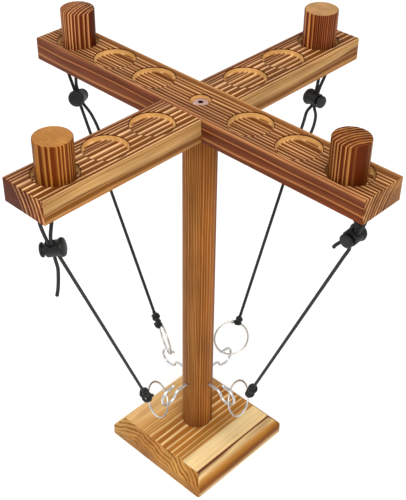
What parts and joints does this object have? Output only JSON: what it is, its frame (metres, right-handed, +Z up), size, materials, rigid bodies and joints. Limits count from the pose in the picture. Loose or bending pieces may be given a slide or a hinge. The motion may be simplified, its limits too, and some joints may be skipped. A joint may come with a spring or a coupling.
{
  "type": "tabletop ring toss game",
  "caption": "Tabletop ring toss: a post on a square base carries crossed bars with scoring-peg recesses; metal rings hang on cords with cord locks and catch on screw hooks in the post.",
  "frame": {"origin": "centre of the base's underside, on the surface it stands on", "axes": "+Z up along the post; +X and +Y along the crossed bars, towards the right and back arms"},
  "size_m": [0.4, 0.4, 0.4638],
  "materials": {
    "upper_bar_wood": "clear lacquer over scorched pine, satin",
    "lower_bar_wood": "clear lacquer over scorched pine, satin",
    "post_wood": "clear lacquer, satin",
    "base_wood": "clear lacquer over scorched pine, satin",
    "peg_wood": "clear lacquer over scorched pine, satin",
    "coppered_steel": "copper plated",
    "zinc_steel": "bright zinc plated",
    "nickel_steel": "nickel plated",
    "black_cord": "braided polyester",
    "black_plastic": "moulded, matte"
  },
  "bodies": {
    "frame": {"base_plate": "base_wood", "post": "post_wood", "crossbar_upper": "upper_bar_wood", "crossbar_lower": "lower_bar_wood", "top_bolt": "coppered_steel", "base_bolt": "coppered_steel", "top_insert_nut": "zinc_steel", "bottom_insert_nut": "zinc_steel", "screw_eye_right": "zinc_steel", "screw_hook_right": "zinc_steel", "cord_right": "black_cord", "screw_eye_back": "zinc_steel", "screw_hook_back": "zinc_steel", "cord_back": "black_cord", "screw_eye_left": "zinc_steel", "screw_hook_left": "zinc_steel", "cord_left": "black_cord", "screw_eye_front": "zinc_steel", "screw_hook_front": "zinc_steel", "cord_front": "black_cord"},
    "peg_right": {"peg_right": "peg_wood"},
    "peg_back": {"peg_back": "peg_wood"},
    "peg_left": {"peg_left": "peg_wood"},
    "peg_front": {"peg_front": "peg_wood"},
    "knot_right": {"knot_right": "black_cord"},
    "ring_right": {"ring_right": "nickel_steel"},
    "knot_back": {"knot_back": "black_cord"},
    "ring_back": {"ring_back": "nickel_steel"},
    "knot_left": {"knot_left": "black_cord"},
    "ring_left": {"ring_left": "nickel_steel"},
    "knot_front": {"knot_front": "black_cord"},
    "ring_front": {"ring_front": "nickel_steel"},
    "lock_right": {"lock_body_right": "black_plastic", "lock_spring_right": "zinc_steel"},
    "lock_button_right": {"lock_button_right": "black_plastic"},
    "lock_back": {"lock_body_back": "black_plastic", "lock_spring_back": "zinc_steel"},
    "lock_button_back": {"lock_button_back": "black_plastic"},
    "lock_left": {"lock_body_left": "black_plastic", "lock_spring_left": "zinc_steel"},
    "lock_button_left": {"lock_button_left": "black_plastic"},
    "lock_front": {"lock_body_front": "black_plastic", "lock_spring_front": "zinc_steel"},
    "lock_button_front": {"lock_button_front": "black_plastic"}
  },
  "joints": [
    {"name": "peg_lift_right", "type": "slide", "parent": "frame", "child": "peg_right", "axis": [0, 0, 1], "range_m": [0, 0.06]},
    {"name": "peg_lift_back", "type": "slide", "parent": "frame", "child": "peg_back", "axis": [0, 0, 1], "range_m": [0, 0.06]},
    {"name": "peg_lift_left", "type": "slide", "parent": "frame", "child": "peg_left", "axis": [0, 0, 1], "range_m": [0, 0.06]},
    {"name": "peg_lift_front", "type": "slide", "parent": "frame", "child": "peg_front", "axis": [0, 0, 1], "range_m": [0, 0.06]},
    {"name": "ring_unhook_right", "type": "slide", "parent": "frame", "child": "knot_right", "axis": [-0.7758, 0, 0.631], "range_m": [0, 0.019], "deforming": ["cord_right"]},
    {"name": "ring_spin_right", "type": "hinge", "parent": "knot_right", "child": "ring_right", "pos_m": [0.05944, 0, 0.09674], "axis": [-0.4353, -0.788, 0.4353], "continuous": true},
    {"name": "ring_unhook_back", "type": "slide", "parent": "frame", "child": "knot_back", "axis": [0, -0.9908, 0.1355], "range_m": [0, 0.011], "deforming": ["cord_back"]},
    {"name": "ring_spin_back", "type": "hinge", "parent": "knot_back", "child": "ring_back", "pos_m": [0, 0.0536, 0.10946], "axis": [0.766, -0.5265, 0.3687], "continuous": true},
    {"name": "ring_unhook_left", "type": "slide", "parent": "frame", "child": "knot_left", "axis": [0.9964, 0, 0.0848], "range_m": [0, 0.014], "deforming": ["cord_left"]},
    {"name": "ring_spin_left", "type": "hinge", "parent": "knot_left", "child": "ring_left", "pos_m": [-0.05066, 0, 0.11247], "axis": [0.4341, 0.891, 0.1327], "continuous": true},
    {"name": "ring_unhook_front", "type": "slide", "parent": "frame", "child": "knot_front", "axis": [0, 0.7733, 0.6341], "range_m": [0, 0.019], "deforming": ["cord_front"]},
    {"name": "ring_spin_front", "type": "hinge", "parent": "knot_front", "child": "ring_front", "pos_m": [0, -0.0599, 0.09616], "axis": [0.7547, 0.4474, 0.4798], "continuous": true},
    {"name": "lock_slide_right", "type": "slide", "parent": "frame", "child": "lock_right", "axis": [0.4384, 0, 0.8988], "range_m": [-0.002, 0.005]},
    {"name": "lock_press_right", "type": "slide", "parent": "lock_right", "child": "lock_button_right", "axis": [-0.0314, 0.9994, 0.0153], "range_m": [0, 0.0024], "stiffness_N_per_m": 300, "springref_m": -0.002, "deforming": ["lock_spring_right"]},
    {"name": "lock_slide_back", "type": "slide", "parent": "frame", "child": "lock_back", "axis": [0, 0.309, 0.9511], "range_m": [-0.002, 0.005]},
    {"name": "lock_press_back", "type": "slide", "parent": "lock_back", "child": "lock_button_back", "axis": [-0.9903, 0.1324, -0.043], "range_m": [0, 0.0024], "stiffness_N_per_m": 300, "springref_m": -0.002, "deforming": ["lock_spring_back"]},
    {"name": "lock_slide_left", "type": "slide", "parent": "frame", "child": "lock_left", "axis": [-0.4695, 0, 0.8829], "range_m": [-0.002, 0.005]},
    {"name": "lock_press_left", "type": "slide", "parent": "lock_left", "child": "lock_button_left", "axis": [0.4679, -0.848, 0.2488], "range_m": [0, 0.0024], "stiffness_N_per_m": 300, "springref_m": -0.002, "deforming": ["lock_spring_left"]},
    {"name": "lock_slide_front", "type": "slide", "parent": "frame", "child": "lock_front", "axis": [0, -0.309, 0.9511], "range_m": [-0.002, 0.005]},
    {"name": "lock_press_front", "type": "slide", "parent": "lock_front", "child": "lock_button_front", "axis": [0.7314, 0.6486, 0.2108], "range_m": [0, 0.0024], "stiffness_N_per_m": 300, "springref_m": -0.002, "deforming": ["lock_spring_front"]}
  ]
}
